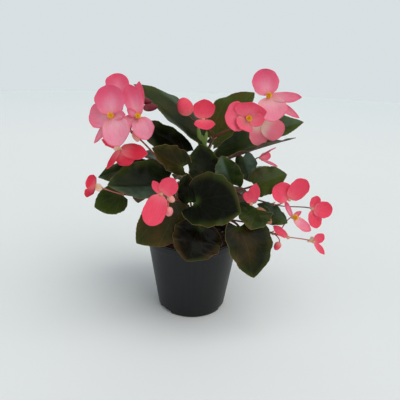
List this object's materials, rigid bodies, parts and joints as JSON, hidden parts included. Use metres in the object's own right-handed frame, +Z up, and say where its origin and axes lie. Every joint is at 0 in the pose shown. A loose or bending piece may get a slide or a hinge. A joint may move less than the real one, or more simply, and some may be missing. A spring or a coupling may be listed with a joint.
{
  "type": "potted begonia",
  "caption": "Flowering house plant in a round nursery pot: branching stems with large lopsided bronze leaves and sprays of pink four-petalled blooms over a tapered black pot.",
  "frame": {"origin": "centre of the pot's flat base, on the surface that it stands on", "axes": "+Z up, -Y towards the front of the plant, +X to the right seen from the front"},
  "size_m": [0.3033, 0.2383, 0.3211],
  "materials": {
    "pot": "satin black moulded plastic",
    "soil": "rough dark peat potting mix",
    "stem": "smooth green-brown fleshy stem",
    "leaf": "glossy bronze-green leaf with a pale reddish toothed margin",
    "stalk": "satin reddish fleshy stalk",
    "petal": "soft velvety pink petal, paler to the centre and coral behind",
    "stamen": "powdery yellow stamens"
  },
  "bodies": {
    "root": {"pot": "pot", "soil": "soil", "stems": "stem", "leaf_01": "leaf", "leaf_02": "leaf", "leaf_03": "leaf", "leaf_04": "leaf", "leaf_05": "leaf", "leaf_06": "leaf", "leaf_07": "leaf", "leaf_08": "leaf", "leaf_09": "leaf", "leaf_10": "leaf", "leaf_11": "leaf", "leaf_12": "leaf", "leaf_13": "leaf", "leaf_14": "leaf", "leaf_15": "leaf", "leaf_16": "leaf", "leaf_17": "leaf", "leaf_18": "leaf", "leaf_19": "leaf", "leaf_20": "leaf", "leaf_21": "leaf", "leaf_22": "leaf", "leaf_23": "leaf", "leaf_24": "leaf", "leaf_25": "leaf", "leaf_26": "leaf", "leaf_27": "leaf", "spray_01": "stalk", "spray_02": "stalk", "spray_03": "stalk", "spray_04": "stalk", "spray_05": "stalk", "spray_06": "stalk", "spray_07": "stalk", "bloom_01": "petal", "stamens_01": "stamen", "bloom_02": "petal", "bloom_03": "petal", "stamens_03": "stamen", "bloom_04": "petal", "bloom_05": "petal", "bloom_06": "petal", "stamens_06": "stamen", "bloom_07": "petal", "stamens_07": "stamen", "bloom_08": "petal", "bloom_09": "petal", "bloom_10": "petal", "bloom_11": "petal", "bloom_12": "petal", "bloom_13": "petal", "stamens_13": "stamen", "bloom_14": "petal", "bloom_15": "petal", "bloom_16": "petal", "bloom_17": "petal", "bloom_18": "petal"}
  },
  "joints": []
}
